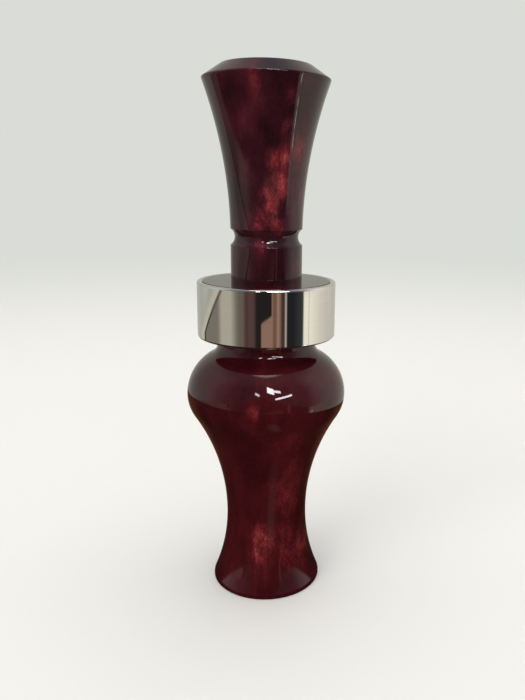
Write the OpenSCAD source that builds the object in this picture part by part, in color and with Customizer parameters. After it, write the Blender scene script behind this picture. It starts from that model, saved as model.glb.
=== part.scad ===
// Double-reed duck call standing on its mouthpiece end, with the exhaust bell up.
// Millimetres. The call's axis is Z, its foot stands on z = 0, and the reeds face -Y.

/* [Barrel] */
// Height of the barrel, from the foot to its top face
barrel_h = 74.3; // [72:0.1:80]
// Diameter of the flared foot
foot_d = 26.1; // [24:0.1:30]
// Height of the straight land round the foot
foot_land = 0.9; // [0.6:0.1:1.8]
// Rounding of the foot's lower edge
foot_round = 0.3; // [0.2:0.05:0.5]
// Width of the flat ring that the call stands on
foot_ring_w = 1.3; // [0.8:0.1:2]
// Depth of the dished mouthpiece
dish_depth = 2.6; // [1:0.1:4]
// Diameter of the slim waist
waist_d = 19.3; // [18.6:0.1:22]
// Height of the waist
waist_z = 17.5; // [14:0.5:22]
// Largest diameter of the bulb
bulb_d = 37.2; // [34:0.1:40]
// Distance from the band down to the bulb's largest diameter
bulb_drop = 13.8; // [12.5:0.1:16]
// Radius of the bulb's underside
bulb_under_r = 8.7; // [6:0.1:11]
// Radius of the bulb's shoulder
bulb_shoulder_r = 10.6; // [9:0.1:11.5]
// Diameter of the barrel's neck, which takes a lanyard loop under the band
barrel_neck_d = 22.6; // [21:0.1:25]
// Radius of the cove between the bulb's shoulder and the barrel's neck
neck_cove_r = 3.2; // [1:0.1:4]
// Bore that runs right through the barrel
chamber_d = 15; // [14.8:0.05:15.3]
// Chamfer where the insert enters the bore
chamber_chamfer = 0.35; // [0.1:0.05:0.4]

/* [Band] */
// Outside diameter of the metal band
band_d = 31.75; // [30:0.05:34]
// Height of the band
band_h = 12.7; // [11:0.1:13.5]
// Thickness of the band's wall
band_wall = 1.2; // [0.8:0.1:1.6]
// Rounding of the band's outer edges
band_round = 0.45; // [0.2:0.05:0.6]

/* [Insert] */
// Height of the insert above the barrel's face
insert_h = 46.1; // [42:0.1:50]
// Diameter of the insert's neck
insert_neck_d = 16.25; // [16:0.05:18]
// Length of the neck below the lanyard groove
insert_neck_h = 8.1; // [6:0.1:10]
// Width of the lanyard groove
groove_w = 3.6; // [3:0.1:5]
// Depth of the lanyard groove
groove_depth = 0.95; // [0.6:0.05:1.3]
// Diameter of the bell's widest rim
rim_d = 28.1; // [24:0.1:30]
// Height of the bevel above the rim
bevel_h = 2.8; // [2:0.1:4]
// Diameter at the bevel's upper edge
bell_top_d = 19.8; // [18.5:0.1:22]
// Diameter of the bell's mouth
bell_mouth_d = 17; // [15:0.1:17.6]
// Diameter of the exhaust bore
exhaust_d = 6.5; // [6:0.1:7]
// Length of the straight exhaust bore above the tone board's socket
exhaust_straight_h = 13.5; // [8:0.5:18]
// Rounding of the rim's and bell's turned edges
turned_round = 0.35; // [0.2:0.05:0.5]
// Length of the tenon inside the barrel
tenon_h = 12; // [11.5:0.1:14]
// Chamfer on the tenon's leading end
tenon_chamfer = 0.5; // [0.2:0.1:0.8]

/* [O-rings] */
// Thickness of an O-ring's cord
ring_cord_d = 1.5; // [1.4:0.05:1.6]
// Extra width of each groove over its ring
ring_slack = 0.5; // [0.3:0.05:0.7]
// Depth of the first ring's middle below the barrel's face
ring_first = 3.6; // [3:0.1:4]
// Distance from one ring to the next
ring_pitch = 4.8; // [4:0.1:5.2]

/* [Tone board] */
// Length of the tone board below the tenon
board_h = 48.3; // [44:0.1:52]
// Distance from the call's axis to the flat reed face
face_offset = 0.6; // [0.2:0.1:1]
// Thickness of the solid collar behind the reeds' ends
collar_h = 1.7; // [1.2:0.1:2.5]
// Slope of the undercut wall that holds the wedge down
undercut_angle = 38; // [30:1:40]
// Length of the flat seat under the wedge
seat_h = 7.6; // [7:0.1:9]
// How far the reed face falls away at the tip
tip_drop = 1.3; // [0.8:0.1:2]
// Corner radius of the tip, seen from the reeds' side
tip_round = 3; // [2:0.1:4]
// Width of the tone channel, and diameter of the bore behind it
channel_w = 5.2; // [4.5:0.1:5.6]
// Solid stretch between the channel's end and the tip
channel_end = 5.5; // [4:0.1:8]
// Depth of the channel at its end
channel_end_depth = 1.4; // [1:0.1:2]
// Diameter of the shank that is glued into the insert
shank_d = 8; // [7.6:0.1:8.4]
// Length of the shank
shank_h = 9.5; // [7:0.1:11]

/* [Reeds] */
// Width of both reeds
reed_w = 12.7; // [12:0.1:13]
// Thickness of the main reed
main_reed_t = 0.25; // [0.2:0.05:0.35]
// Thickness of the top reed
top_reed_t = 0.25; // [0.2:0.05:0.35]
// How far the main reed stops short of the tone board's tip
main_reed_setback = 1.1; // [0.5:0.1:2]
// How much shorter the top reed is than the main one
top_reed_setback = 2.8; // [2:0.1:5]
// Corner radius of the reeds
reed_round = 0.8; // [0.3:0.1:1.5]
// Diameter of the raised dot that keeps the reeds apart
dot_d = 2.2; // [1.5:0.1:3]
// Gap between the two reeds, which the dot keeps open
reed_gap = 0.2; // [0.15:0.05:0.3]
// Distance from the wedge to the dot
dot_reach = 9; // [5:0.5:14]

/* [Cork wedge] */
// Width of the cork wedge
wedge_w = 12.2; // [10:0.1:12.6]
// Slope of the wedge's free end
wedge_front_angle = 6; // [2:1:10]

/* [Fits] */
// Clearance of a running or sliding fit
running_gap = 0.05; // [0.03:0.01:0.09]
// Thickness of a glue line
glue_gap = 0.03; // [0.02:0.01:0.06]
// Radial clearance of the tenon and the tone board in the bore
bore_gap = 0.25; // [0.15:0.05:0.35]

/* [Hidden] */

// One overrun for every cut, and the number of chords in each turned arc
overrun = 1;
arc_steps = 14;
long_arc_steps = 24;
corner_steps = 6;
$fn = 96;

// Radii of the barrel and its band
foot_r = foot_d / 2;
waist_r = waist_d / 2;
bulb_r = bulb_d / 2;
barrel_neck_r = barrel_neck_d / 2;
chamber_r = chamber_d / 2;
band_r = band_d / 2;
band_bore_r = band_r - band_wall;
band_seat_r = band_bore_r - glue_gap;
band_z = barrel_h - band_h;
bulb_z = band_z - bulb_drop;

// The foot's cove is tangent to the waist and ends at the straight land round the foot
foot_flare = foot_r - waist_r;
foot_rise = waist_z - foot_land;
foot_cove_r = (pow(foot_rise, 2) + pow(foot_flare, 2)) / (2 * foot_flare);
foot_cove_c = [waist_r + foot_cove_r, waist_z];
foot_turn = atan2(foot_rise, foot_cove_r - foot_flare);
foot_round_c = [foot_r - foot_round, foot_round];
foot_ring_r = foot_round_c[0] - foot_ring_w;

// The body's cove is tangent to the waist and to the bulb's underside
bulb_rise = bulb_z - waist_z;
bulb_swell = bulb_r - waist_r;
body_cove_r = (pow(bulb_swell, 2) + pow(bulb_rise, 2)) / (2 * bulb_swell) - bulb_under_r;
body_cove_c = [waist_r + body_cove_r, waist_z];
bulb_under_c = [bulb_r - bulb_under_r, bulb_z];
body_turn = atan2(bulb_rise, body_cove_c[0] - bulb_under_c[0]);

// The neck's cove is tangent to the bulb's shoulder and to the straight neck above it
bulb_shoulder_c = [bulb_r - bulb_shoulder_r, bulb_z];
neck_cove_out = barrel_neck_r + neck_cove_r - bulb_shoulder_c[0];
neck_cove_up = sqrt(pow(bulb_shoulder_r + neck_cove_r, 2) - pow(neck_cove_out, 2));
neck_cove_c = bulb_shoulder_c + [neck_cove_out, neck_cove_up];
shoulder_turn = atan2(neck_cove_up, neck_cove_out);

// The mouthpiece is a dish of one radius, from the foot's flat ring to the bore
dish_drop = (pow(foot_ring_r, 2) - pow(chamber_r, 2) - pow(dish_depth, 2)) / (2 * dish_depth);
dish_r = norm([foot_ring_r, dish_drop]);

// Heights along the insert, from the barrel's face up
insert_neck_r = insert_neck_d / 2;
groove_z = barrel_h + insert_neck_h;
groove_mid_z = groove_z + groove_w / 2;
groove_top_z = groove_z + groove_w;
groove_arc_r = (pow(groove_w / 2, 2) + pow(groove_depth, 2)) / (2 * groove_depth);
groove_c = [insert_neck_r - groove_depth + groove_arc_r, groove_mid_z];
groove_turn = asin(groove_w / 2 / groove_arc_r);
call_h = barrel_h + insert_h;
rim_z = call_h - bevel_h;
rim_r = rim_d / 2;
bell_top_r = bell_top_d / 2;

// The flare leaves the neck upright at the groove's middle and ends at the rim
flare_rise = rim_z - groove_mid_z;
flare_swell = rim_r - insert_neck_r;
flare_r = (pow(flare_rise, 2) + pow(flare_swell, 2)) / (2 * flare_swell);
flare_c = [insert_neck_r + flare_r, groove_mid_z];
flare_start_turn = asin((groove_top_z - groove_mid_z) / flare_r);
flare_turn = asin(flare_rise / flare_r);

// The tenon, its grooves and the tone board's socket
tenon_r = chamber_r - bore_gap;
tenon_z = barrel_h - tenon_h;
ring_r = chamber_r - running_gap - ring_cord_d / 2;
ring_groove_r = ring_r - ring_cord_d / 2 - running_gap;
ring_groove_w = ring_cord_d + ring_slack;
front_ring_z = barrel_h - ring_first - ring_pitch;
rear_ring_z = barrel_h - ring_first;
shank_r = shank_d / 2;
socket_r = shank_r + glue_gap;
socket_top_z = tenon_z + shank_h + glue_gap;

// The bell's inside leaves the exhaust bore upright and opens to the mouth
exhaust_r = exhaust_d / 2;
bell_mouth_r = bell_mouth_d / 2;
bell_start_z = socket_top_z + exhaust_straight_h;
bell_rise = call_h - bell_start_z;
bell_swell = bell_mouth_r - exhaust_r;
bell_arc_r = (pow(bell_rise, 2) + pow(bell_swell, 2)) / (2 * bell_swell);
bell_c = [exhaust_r + bell_arc_r, bell_start_z];
bell_turn = asin(bell_rise / bell_arc_r);

// The tone board: a half round whose face is flat under the wedge and then falls away
board_r = tenon_r;
tip_z = tenon_z - board_h;
undercut_z = tenon_z - collar_h;
seat_z = undercut_z - seat_h;
curve_h = seat_z - tip_z;
face_arc_r = (pow(curve_h, 2) + pow(tip_drop, 2)) / (2 * tip_drop);
face_arc_turn = asin(curve_h / face_arc_r);
channel_r = channel_w / 2;
channel_end_z = tip_z + channel_end;
channel_end_drop = face_arc_r - sqrt(pow(face_arc_r, 2) - pow(seat_z - channel_end_z, 2));

// The reeds lie on the face, the main one first, and the wedge lies on them
main_reed_y = -face_offset - running_gap;
top_reed_y = main_reed_y - main_reed_t - reed_gap;
wedge_y = top_reed_y - top_reed_t - running_gap;
wedge_back_z = undercut_z + (wedge_y + face_offset) * tan(undercut_angle)
    - running_gap / cos(undercut_angle);
reed_tail_z = wedge_back_z;
main_reed_z = tip_z + main_reed_setback;
top_reed_z = main_reed_z + top_reed_setback;
dot_z = seat_z - dot_reach;
dot_h = reed_gap - running_gap;
dot_sphere_r = (pow(dot_d / 2, 2) + pow(dot_h, 2)) / (2 * dot_h);

// Points on an arc about c, from the angle a0 to a1, in n chords
function arc(c, r, a0, a1, n) = [
    for (i = [0:n])
        let (a = a0 + (a1 - a0) * i / n)
        c + r * [cos(a), sin(a)]
];

// Points that round the corner at p, between its neighbours a and b
function corner(p, a, b, r) =
    let (u = (a - p) / norm(a - p),
         v = (b - p) / norm(b - p),
         half = acos(u * v) / 2,
         c = p + (u + v) / norm(u + v) * r / sin(half),
         from = p + u * r / tan(half) - c,
         way = cross(from, p - c) > 0 ? 1 : -1,
         start = atan2(from[1], from[0]))
    arc(c, r, start, start + way * (180 - 2 * half), corner_steps);

// An outline drawn in Y and Z, given a width along X
module across(width) {
    rotate([90, 0, 90])
        translate([0, 0, -width / 2])
            linear_extrude(width) children();
}

// An outline drawn in X and Z, given a depth along Y from y0 to y1
module through(y0, y1) {
    translate([0, y1, 0])
        rotate([90, 0, 0])
            linear_extrude(y1 - y0) children();
}

// A strip with rounded corners, from the height z0 to z1
module round_strip(width, z0, z1, r) {
    translate([-width / 2 + r, z0]) square([width - 2 * r, z1 - z0]);
    translate([-width / 2, z0 + r]) square([width, z1 - z0 - 2 * r]);
    for (side = [-1, 1])
        for (z = [z0 + r, z1 - r])
            translate([side * (width / 2 - r), z]) circle(r);
}

// Turned from one blank: flared foot, waist, bulb, lanyard neck and the band's seat
module barrel() {
    outline = concat(
        arc(foot_round_c, foot_round, -90, 0, arc_steps),
        arc(foot_cove_c, foot_cove_r, 180 + foot_turn, 180, long_arc_steps),
        arc(body_cove_c, body_cove_r, 180, 180 - body_turn, long_arc_steps),
        arc(bulb_under_c, bulb_under_r, -body_turn, 0, arc_steps),
        arc(bulb_shoulder_c, bulb_shoulder_r, 0, shoulder_turn, long_arc_steps),
        arc(neck_cove_c, neck_cove_r, 180 + shoulder_turn, 180, arc_steps),
        [[barrel_neck_r, band_z],
         [band_seat_r, band_z],
         [band_seat_r, barrel_h],
         [chamber_r + chamber_chamfer, barrel_h],
         [chamber_r, barrel_h - chamber_chamfer]],
        arc([0, -dish_drop], dish_r,
            acos(chamber_r / dish_r), acos(foot_ring_r / dish_r), arc_steps));
    color([0.32, 0.05, 0.09])
        rotate_extrude() polygon(outline);
}

// Polished ring pressed on the barrel's end, flush with both of its faces
module band() {
    outline = concat(
        [[band_bore_r, band_z]],
        arc([band_r - band_round, band_z + band_round], band_round, -90, 0, arc_steps),
        arc([band_r - band_round, barrel_h - band_round], band_round, 0, 90, arc_steps),
        [[band_bore_r, barrel_h]]);
    color([0.78, 0.78, 0.76])
        rotate_extrude() polygon(outline);
}

// One rectangular O-ring groove in the tenon, listed from its lower edge up
function ring_groove(z) = [
    [tenon_r, z - ring_groove_w / 2],
    [ring_groove_r, z - ring_groove_w / 2],
    [ring_groove_r, z + ring_groove_w / 2],
    [tenon_r, z + ring_groove_w / 2]
];

// Tenon, neck, lanyard groove and flared bell, bored right through
module insert() {
    flare = arc(flare_c, flare_r, 180 - flare_start_turn, 180 - flare_turn, long_arc_steps);
    bell = arc(bell_c, bell_arc_r, 180 - bell_turn, 180, long_arc_steps);
    rim = [rim_r, rim_z];
    bevel_top = [bell_top_r, call_h];
    mouth = [bell_mouth_r, call_h];
    outline = concat(
        [[tenon_r - tenon_chamfer, tenon_z],
         [tenon_r, tenon_z + tenon_chamfer]],
        ring_groove(front_ring_z),
        ring_groove(rear_ring_z),
        [[tenon_r, barrel_h],
         [insert_neck_r, barrel_h]],
        arc(groove_c, groove_arc_r, 180 + groove_turn, 180 - groove_turn, arc_steps),
        [for (i = [0:long_arc_steps - 1]) flare[i]],
        corner(rim, flare[long_arc_steps - 1], bevel_top, turned_round),
        corner(bevel_top, rim, mouth, turned_round),
        corner(mouth, bevel_top, bell[1], turned_round),
        [for (i = [1:long_arc_steps]) bell[i]],
        [[exhaust_r, socket_top_z],
         [socket_r, socket_top_z],
         [socket_r, tenon_z]]);
    color([0.36, 0.06, 0.10])
        rotate_extrude() polygon(outline);
}

// Rubber ring, drawn at the size it is squeezed to in the bore
module o_ring(z) {
    color([0.08, 0.08, 0.08])
        translate([0, 0, z])
            rotate_extrude() translate([ring_r, 0]) circle(d = ring_cord_d);
}

// The space over the reed face: flat seat, undercut wall and the long falling curve
module face_cut() {
    across(2 * (board_r + overrun))
        polygon(concat(
            [[-board_r - overrun,
              undercut_z - (board_r + overrun - face_offset) * tan(undercut_angle)],
             [-face_offset, undercut_z]],
            arc([face_arc_r - face_offset, seat_z], face_arc_r, 180, 180 + face_arc_turn,
                long_arc_steps),
            [[tip_drop - face_offset, tip_z - overrun],
             [-board_r - overrun, tip_z - overrun]]));
}

// Tone channel: round-ended in the face, with a floor that rises to its end
module channel_cut() {
    intersection() {
        through(-board_r, board_r) {
            translate([0, channel_end_z + channel_r]) circle(channel_r);
            translate([-channel_r, channel_end_z + channel_r])
                square([channel_w, undercut_z - channel_end_z - channel_r]);
        }
        across(channel_w + 2 * overrun)
            polygon([
                [-board_r, channel_end_z - overrun],
                [channel_end_drop - face_offset + channel_end_depth, channel_end_z - overrun],
                [channel_end_drop - face_offset + channel_end_depth, channel_end_z + channel_r],
                [channel_r, seat_z],
                [channel_r, undercut_z],
                [-board_r, undercut_z]]);
    }
    translate([0, 0, seat_z]) cylinder(r = channel_r, h = tenon_z + shank_h + overrun - seat_z);
}

// Half-round board with its reed face, channel and wedge notch, and a shank to glue in
module tone_board() {
    color([0.10, 0.10, 0.11])
        difference() {
            union() {
                intersection() {
                    translate([0, 0, tip_z]) cylinder(r = board_r, h = board_h);
                    through(-board_r - overrun, board_r + overrun)
                        round_strip(2 * board_r, tip_z, tenon_z + tip_round, tip_round);
                }
                translate([0, 0, tenon_z]) cylinder(r = shank_r, h = shank_h);
            }
            face_cut();
            channel_cut();
        }
}

// Flat strip cut from film, from its tip at the height z to its tail under the wedge
module reed(y, t, z) {
    through(y - t, y)
        round_strip(reed_w, z, reed_tail_z, reed_round);
}

// The lower and longer reed, with the raised dot that keeps the two apart
module main_reed() {
    outer_y = main_reed_y - main_reed_t;
    color([0.86, 0.88, 0.90])
        union() {
            reed(main_reed_y, main_reed_t, main_reed_z);
            intersection() {
                translate([0, outer_y + dot_sphere_r - dot_h, dot_z]) sphere(dot_sphere_r);
                translate([0, outer_y + main_reed_t / 2, dot_z])
                    rotate([90, 0, 0]) cylinder(d = dot_d, h = main_reed_t / 2 + reed_gap);
            }
        }
}

// The shorter reed that lies over the main one
module top_reed() {
    color([0.80, 0.84, 0.88])
        reed(top_reed_y, top_reed_t, top_reed_z);
}

// Cork block that the undercut wall presses on the reeds' tails
module cork_wedge() {
    top_y = -board_r - overrun;
    rise = wedge_y - top_y;
    color([0.70, 0.52, 0.33])
        intersection() {
            translate([0, 0, tip_z]) cylinder(r = board_r, h = board_h);
            across(wedge_w)
                polygon([
                    [wedge_y, wedge_back_z],
                    [top_y, wedge_back_z - rise * tan(undercut_angle)],
                    [top_y, seat_z + rise * tan(wedge_front_angle)],
                    [wedge_y, seat_z]]);
        }
}

barrel();
band();
insert();
o_ring(front_ring_z);  // front_o_ring
o_ring(rear_ring_z);  // rear_o_ring
tone_board();
main_reed();
top_reed();
cork_wedge();
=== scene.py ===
# %% [markdown]
# # A turned duck call, dressed in Blender
#
# The call stands on its mouthpiece with the bell up. Its acrylic barrel and insert were
# turned on a lathe and buffed, and a nickel band is pressed on the barrel's end. Inside are
# a tone board, two film reeds, a cork wedge and two O-rings.
#
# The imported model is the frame: it says where each piece is and which body it moves with.
# This file gives every piece its finished shape and material around that frame.

# %% Load the frame
import math

import bmesh
import bpy
from mathutils import Matrix, Vector


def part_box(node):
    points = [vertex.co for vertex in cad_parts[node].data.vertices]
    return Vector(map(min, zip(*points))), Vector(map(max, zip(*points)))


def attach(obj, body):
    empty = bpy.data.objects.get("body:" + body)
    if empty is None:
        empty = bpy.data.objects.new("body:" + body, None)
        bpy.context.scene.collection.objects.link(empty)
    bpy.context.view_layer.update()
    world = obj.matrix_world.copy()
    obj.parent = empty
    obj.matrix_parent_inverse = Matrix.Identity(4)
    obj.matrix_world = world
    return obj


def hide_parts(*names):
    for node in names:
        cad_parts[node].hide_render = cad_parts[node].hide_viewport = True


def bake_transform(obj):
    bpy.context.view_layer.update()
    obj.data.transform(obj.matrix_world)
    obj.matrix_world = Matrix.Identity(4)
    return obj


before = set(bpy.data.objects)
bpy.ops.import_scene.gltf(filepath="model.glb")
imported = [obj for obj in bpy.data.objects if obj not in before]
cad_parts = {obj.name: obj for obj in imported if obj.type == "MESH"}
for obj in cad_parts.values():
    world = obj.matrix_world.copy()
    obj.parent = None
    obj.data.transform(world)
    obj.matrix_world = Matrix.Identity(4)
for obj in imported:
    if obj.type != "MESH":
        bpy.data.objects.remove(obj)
scene = bpy.context.scene
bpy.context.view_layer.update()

# %% [markdown]
# ## The camera
#
# The photograph was taken from close by, a little above the band, looking slightly down.
# Four circles of the call fix that camera: the foot, both edges of the band, and the rim.
# A long side of 36 mm and a 35 mm lens give the same view. The small roll and the small
# sideways shift are the photograph's own framing.

# %% Camera
CAMERA_AT = (0.010988, -0.15586, 0.095676)
CAMERA_DOWN_DEG = 13.603
CAMERA_ROLL_DEG = 0.96
LONG_SIDE_MM, LENS_MM, SIDE_SHIFT = 36.0, 35.022, -0.0724
NEAREST = 0.005

camera_data = bpy.data.cameras.new("photo_camera")
camera_data.sensor_width = LONG_SIDE_MM
camera_data.lens = LENS_MM
camera_data.shift_x = SIDE_SHIFT
camera_data.clip_start = NEAREST
camera = bpy.data.objects.new("photo_camera", camera_data)
camera.matrix_world = (
    Matrix.Translation(CAMERA_AT)
    @ Matrix.Rotation(math.radians(90 - CAMERA_DOWN_DEG), 4, "X")
    @ Matrix.Rotation(math.radians(CAMERA_ROLL_DEG), 4, "Z")
)
scene.collection.objects.link(camera)
scene.camera = camera
print("Camera", [round(x, 4) for x in camera.location], "lens", camera_data.lens)

# %% [markdown]
# ## A lathe made of two spins
#
# A wood turner cuts one outline and the lathe carries it round. Blender's spin operator
# does both jobs. Spun about a point beside the axis, one vertex draws an arc of the
# outline. Spun about the axis itself, the whole outline becomes the turned piece. The
# outline keeps true radii, so the polish reflects without facets, which a mesh of long
# triangles would not do.
#
# Straight cuts extrude the outline's last vertex. Smooth shading blends across every edge,
# so a straight wall between two rounds would reflect like a barrel. That is why a polished
# straight cut gets one more ring near each end.

# %% Straight cuts
MM = 0.001
HOLD = 0.05


def start_outline(r, z):
    """A new outline that starts at radius r and height z, both in mm."""
    bm = bmesh.new()
    return bm, bm.verts.new((r * MM, 0, z * MM))


def cut_to(bm, tip, r, z):
    """A straight cut from the outline's tip."""
    tip = bmesh.ops.extrude_vert_indiv(bm, verts=[tip])["verts"][0]
    tip.co = (r * MM, 0, z * MM)
    return tip


def polish_to(bm, tip, r, z, hold=HOLD):
    """A straight cut with a ring hold mm from each end, so that polish stays straight."""
    start_r, start_z = tip.co.x / MM, tip.co.z / MM
    share = hold / math.hypot(r - start_r, z - start_z)
    for part in (share, 1 - share, 1):
        tip = cut_to(bm, tip, start_r + (r - start_r) * part, start_z + (z - start_z) * part)
    return tip


# %% [markdown]
# An arc is the vertex spun about the arc's centre, in steps too fine to show in the polish.
# A corner between two cuts is rounded later, with a bevel of its vertex, because a turner
# also breaks the corners last.

# %% Arcs and rounded corners
def sweep(bm, tip, centre, degrees, steps):
    """An arc about centre in so many steps; degrees above 0 turn from outward to up."""
    made = bmesh.ops.spin(
        bm, geom=[tip], cent=(centre[0] * MM, 0, centre[1] * MM), axis=(0, -1, 0),
        angle=math.radians(degrees), steps=steps,
    )
    return next(g for g in made["geom_last"] if isinstance(g, bmesh.types.BMVert))


def soften(bm, corners, steps=3):
    """Rounds corners of the outline; corners is a list of (vertex, length cut back in mm)."""
    for vertex, back in corners:
        bmesh.ops.bevel(
            bm, geom=[vertex], offset=back * MM, offset_type="OFFSET", segments=steps,
            profile=0.5, affect="VERTICES", material=-1,
        )


# %% [markdown]
# A full spin lays its last outline on its first, so the doubles are merged. A spin can also
# turn a shape inside out, so the normals are worked out again. Then all faces are smooth,
# and only the corners that the tool left stay sharp.

# %% Spinning
TURNS = 192
WELD = 1e-7
SHARP_DEG = 28


def crease(bm, degrees=SHARP_DEG):
    """Smooth faces, with sharp edges where the tool left a corner."""
    for face in bm.faces:
        face.smooth = True
    for edge in bm.edges:
        edge.smooth = edge.calc_face_angle(0) < math.radians(degrees)


def spin_round(bm, steps):
    """Spins the outline about the Z axis and welds what meets there."""
    bmesh.ops.spin(
        bm, geom=bm.verts[:] + bm.edges[:], cent=(0, 0, 0), axis=(0, 0, 1),
        angle=math.tau, steps=steps, use_merge=True,
    )
    bmesh.ops.remove_doubles(bm, verts=bm.verts[:], dist=WELD)
    bmesh.ops.recalc_face_normals(bm, faces=bm.faces[:])


# %% [markdown]
# A bmesh is only a workpiece. It becomes an object at the origin.

# %% From bmesh to piece
def as_object(bm, name):
    """The finished mesh as an object at the origin."""
    mesh = bpy.data.meshes.new(name)
    bm.to_mesh(mesh)
    bm.free()
    made = bpy.data.objects.new(name, mesh)
    scene.collection.objects.link(made)
    print(name, len(mesh.vertices), "points,", len(mesh.polygons), "faces")
    return made


def as_piece(bm, name):
    """The same for a piece of the call."""
    piece = as_object(bm, name)
    return piece


def turn(bm, first, last, name):
    """Closes the outline, spins it about the call's axis and makes it a piece."""
    bmesh.ops.pointmerge(bm, verts=[first, last], merge_co=first.co.copy())
    spin_round(bm, TURNS)
    crease(bm)
    return as_piece(bm, name)


# %% [markdown]
# ## The barrel
#
# The barrel's outline is all coves and rounds that run into each other: the flared foot,
# the slim waist, the bulb and its shoulder. Tangent arcs are found the way a turner draws
# them, from the circles' centres. A cove that is tangent to the waist has its centre at the
# waist's height. Past the shoulder come a small cove and the neck for a lanyard, the seat
# for the band, and the bore that the insert goes into.

# %% Barrel sizes in mm
BARREL_H = 74.3
FOOT_R = 13.05
FOOT_LAND = 0.9
FOOT_ROUND = 0.3
FOOT_RING_W = 1.3
DISH_DEPTH = 2.6
WAIST_R, WAIST_Z = 9.65, 17.5
BULB_R, BULB_Z = 18.59, 47.8
UNDER_R, SHOULDER_R = 8.7, 10.6
NECK_R, NECK_COVE_R = 11.3, 3.2
BORE_R = 7.5
BORE_CHAMFER = 0.35
BAND_R, BAND_H, BAND_WALL, BAND_ROUND = 15.87, 12.7, 1.2, 0.45
BAND_Z = BARREL_H - BAND_H
GLUE = 0.03
SEAT_R = BAND_R - BAND_WALL - GLUE
LAND_BREAK, FACE_BREAK, FACE_HOLD = 0.3, 0.12, 0.3
FOOT_STEPS, COVE_STEPS, BODY_STEPS, UNDER_STEPS, SHOULDER_STEPS = 8, 36, 44, 24, 36
NECK_STEPS, DISH_STEPS = 18, 14

foot_flare, foot_rise = FOOT_R - WAIST_R, WAIST_Z - FOOT_LAND
foot_cove_r = (foot_rise**2 + foot_flare**2) / (2 * foot_flare)
foot_turn = math.degrees(math.atan2(foot_rise, foot_cove_r - foot_flare))
foot_ring_r = FOOT_R - FOOT_ROUND - FOOT_RING_W

bulb_rise, bulb_swell = BULB_Z - WAIST_Z, BULB_R - WAIST_R
body_cove_r = (bulb_swell**2 + bulb_rise**2) / (2 * bulb_swell) - UNDER_R
body_cove = (WAIST_R + body_cove_r, WAIST_Z)
body_turn = math.degrees(math.atan2(bulb_rise, body_cove[0] - (BULB_R - UNDER_R)))
cove_out = NECK_R + NECK_COVE_R - BULB_R + SHOULDER_R
cove_up = math.sqrt((SHOULDER_R + NECK_COVE_R) ** 2 - cove_out**2)
shoulder_turn = math.degrees(math.atan2(cove_up, cove_out))

dish_drop = (foot_ring_r**2 - BORE_R**2 - DISH_DEPTH**2) / (2 * DISH_DEPTH)
dish_r = math.hypot(foot_ring_r, dish_drop)
dish_turn = math.degrees(math.acos(foot_ring_r / dish_r) - math.acos(BORE_R / dish_r))
print("Cove radii", round(foot_cove_r, 2), round(body_cove_r, 2), "dish", round(dish_r, 2))

# %% [markdown]
# The cuts go once round the outline, as they would on the lathe: from the flat foot up the
# outside, across the face that the insert meets, and back down the bore to the dish.

# %% Barrel
bm, first = start_outline(foot_ring_r, 0)
tip = cut_to(bm, first, FOOT_R - FOOT_ROUND, 0)
tip = sweep(bm, tip, (FOOT_R - FOOT_ROUND, FOOT_ROUND), 90, FOOT_STEPS)
land = cut_to(bm, tip, FOOT_R, FOOT_LAND)
tip = sweep(bm, land, (WAIST_R + foot_cove_r, WAIST_Z), -foot_turn, COVE_STEPS)
tip = sweep(bm, tip, body_cove, -body_turn, BODY_STEPS)
tip = sweep(bm, tip, (BULB_R - UNDER_R, BULB_Z), body_turn, UNDER_STEPS)
tip = sweep(bm, tip, (BULB_R - SHOULDER_R, BULB_Z), shoulder_turn, SHOULDER_STEPS)
neck_cove = (NECK_R + NECK_COVE_R, BULB_Z + cove_up)
tip = sweep(bm, tip, neck_cove, -shoulder_turn, NECK_STEPS)
tip = polish_to(bm, tip, NECK_R, BAND_Z)
tip = cut_to(bm, tip, SEAT_R, BAND_Z)
face_edge = cut_to(bm, tip, SEAT_R, BARREL_H)
tip = polish_to(bm, face_edge, BORE_R + BORE_CHAMFER, BARREL_H, FACE_HOLD)
tip = cut_to(bm, tip, BORE_R, BARREL_H - BORE_CHAMFER)
tip = cut_to(bm, tip, BORE_R, DISH_DEPTH)
last = sweep(bm, tip, (0, -dish_drop), dish_turn, DISH_STEPS)
soften(bm, [(land, LAND_BREAK), (face_edge, FACE_BREAK)])
barrel = turn(bm, first, last, "barrel_turned")

# %% [markdown]
# ## The band
#
# The band is a ring of polished nickel silver with its outer edges rolled over. Those two
# small rounds catch the thin bright lines above and below it. Inside the top edge a shallow
# bevel leads down to the acrylic. It mirrors the dark neck, so a fine dark line parts the
# bright rim from the barrel's face.

# %% Band
INNER_R = BAND_R - BAND_WALL
INNER_BEVEL_W, INNER_BEVEL_H = 0.4, 0.18
ROLL_STEPS = 10

bm, first = start_outline(INNER_R, BAND_Z)
tip = polish_to(bm, first, BAND_R - BAND_ROUND, BAND_Z)
tip = sweep(bm, tip, (BAND_R - BAND_ROUND, BAND_Z + BAND_ROUND), 90, ROLL_STEPS)
tip = polish_to(bm, tip, BAND_R, BARREL_H - BAND_ROUND)
tip = sweep(bm, tip, (BAND_R - BAND_ROUND, BARREL_H - BAND_ROUND), 90, ROLL_STEPS)
tip = polish_to(bm, tip, INNER_R + INNER_BEVEL_W, BARREL_H)
tip = polish_to(bm, tip, INNER_R, BARREL_H - INNER_BEVEL_H)
last = cut_to(bm, tip, INNER_R, BAND_Z)
band = turn(bm, first, last, "band_polished")

# %% [markdown]
# ## The insert
#
# Above the barrel the insert has a straight neck, a rounded groove for the lanyard, and a
# long flare that is one arc up to the rim. A bevel leads from the rim to the bell's mouth.
# Below the barrel's face is the tenon, with two square grooves for the O-rings.

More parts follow.
